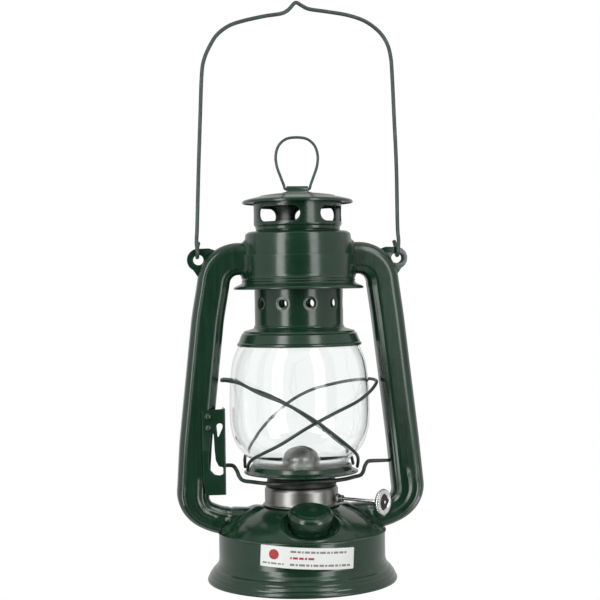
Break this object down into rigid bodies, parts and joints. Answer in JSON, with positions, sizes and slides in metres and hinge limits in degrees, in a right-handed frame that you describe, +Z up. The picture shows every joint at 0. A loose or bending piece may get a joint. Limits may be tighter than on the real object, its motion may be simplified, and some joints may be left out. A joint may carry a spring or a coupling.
{
  "type": "tubular oil lantern",
  "caption": "Tubular kerosene lantern: flared tank, screw-cap filler, wick burner, glass globe in wire guards on a crank lift, side air tubes, vented hood and wire bail.",
  "frame": {"origin": "centre of the foot, on the surface that the lantern stands on", "axes": "+Z up along the burner and hood axis, the air tubes lie along X, and the filler cap is at the front, -Y"},
  "size_m": [0.1514, 0.115, 0.3532],
  "materials": {
    "green_enamel": "glossy dark green enamel on pressed steel",
    "enamelled_wire": "thin dark green enamel on steel wire",
    "burner_steel": "dull plated steel with fine turning marks",
    "galvanised_steel": "bright galvanised wire and stamped wheel",
    "spring_steel": "oiled spring wire",
    "clear_glass": "clear blown glass",
    "cotton_wick": "flat woven cotton wick",
    "seal_rubber": "pressed oil-proof sealing disc",
    "label_paper": null
  },
  "bodies": {
    "frame": {"tank_wall": "green_enamel", "tank_bottom": "green_enamel", "tank_top": "green_enamel", "filler_neck": "green_enamel", "label": "label_paper", "left_air_tube": "green_enamel", "right_air_tube": "green_enamel", "left_bail_ear": "green_enamel", "right_bail_ear": "green_enamel", "crown_upper": "green_enamel", "crown_lower": "green_enamel", "hood_spring": "spring_steel", "lever_bracket": "green_enamel", "bracket_rivet_upper": "green_enamel", "bracket_rivet_lower": "green_enamel", "burner_seat_ring": "burner_steel", "burner_shell": "burner_steel", "burner_deck": "burner_steel", "burner_cone": "burner_steel", "wick_tube": "burner_steel", "shaft_bush": "burner_steel"},
    "bail": {"bail_wire": "enamelled_wire"},
    "globe_carrier": {"globe_plate": "green_enamel", "globe": "clear_glass", "guard_wire_left": "enamelled_wire", "guard_wire_right": "enamelled_wire"},
    "hood": {"hood_cap": "green_enamel", "ring_saddle": "green_enamel", "vent_collar": "green_enamel", "hood_neck": "green_enamel", "chimney_sleeve": "green_enamel", "globe_bell": "green_enamel"},
    "top_ring": {"lifting_ring": "enamelled_wire"},
    "lifter": {"lift_wire": "enamelled_wire", "thumb_lever": "green_enamel"},
    "wick_drive": {"wick_shaft": "galvanised_steel", "spur_wheel_inner": "burner_steel", "spur_wheel_outer": "burner_steel", "wick_knob": "galvanised_steel"},
    "wick": {"wick": "cotton_wick"},
    "seal": {"filler_seal": "seal_rubber"},
    "cap": {"filler_cap": "green_enamel"}
  },
  "joints": [
    {"name": "bail_swing", "type": "hinge", "parent": "frame", "child": "bail", "pos_m": [0, 0, 0.20065], "axis": [1, 0, 0], "range_deg": [-120, 120]},
    {"name": "lifter_turn", "type": "hinge", "parent": "frame", "child": "lifter", "pos_m": [0, 0, 0.071], "axis": [-1, 0, 0], "range_deg": [0, 20]},
    {"name": "globe_lift", "type": "slide", "parent": "frame", "child": "globe_carrier", "axis": [0, 0, 1], "range_m": [0, 0.009]},
    {"name": "hood_lift", "type": "slide", "parent": "globe_carrier", "child": "hood", "axis": [0, 0, 1], "range_m": [0, 0.012], "stiffness_N_per_m": 250, "springref_m": -0.015, "deforming": ["hood_spring"]},
    {"name": "ring_fold", "type": "hinge", "parent": "hood", "child": "top_ring", "pos_m": [0, 0, 0.2383], "axis": [1, 0, 0], "range_deg": [-90, 90]},
    {"name": "wick_turn", "type": "hinge", "parent": "frame", "child": "wick_drive", "pos_m": [0.00314, 0.00349, 0.0505], "axis": [0.7431, -0.6691, 0], "range_deg": [-150, 60]},
    {"name": "wick_travel", "type": "slide", "parent": "frame", "child": "wick", "axis": [0, 0, 1], "range_m": [-0.00835, 0.00334]},
    {"name": "filler_cap_turn", "type": "hinge", "parent": "seal", "child": "cap", "pos_m": [0, -0.0385, 0.0474], "axis": [0, -0.2974, 0.9548], "range_deg": [0, 720]},
    {"name": "filler_cap_rise", "type": "slide", "parent": "frame", "child": "seal", "axis": [0, -0.2974, 0.9548], "range_m": [0, 0.006]}
  ],
  "couplings": [
    {"joint": "lifter_turn", "follows": "globe_lift", "rad_per_m": 38.76},
    {"joint": "wick_turn", "follows": "wick_travel", "rad_per_m": 312.5},
    {"joint": "filler_cap_turn", "follows": "filler_cap_rise", "rad_per_m": 2094.4}
  ]
}
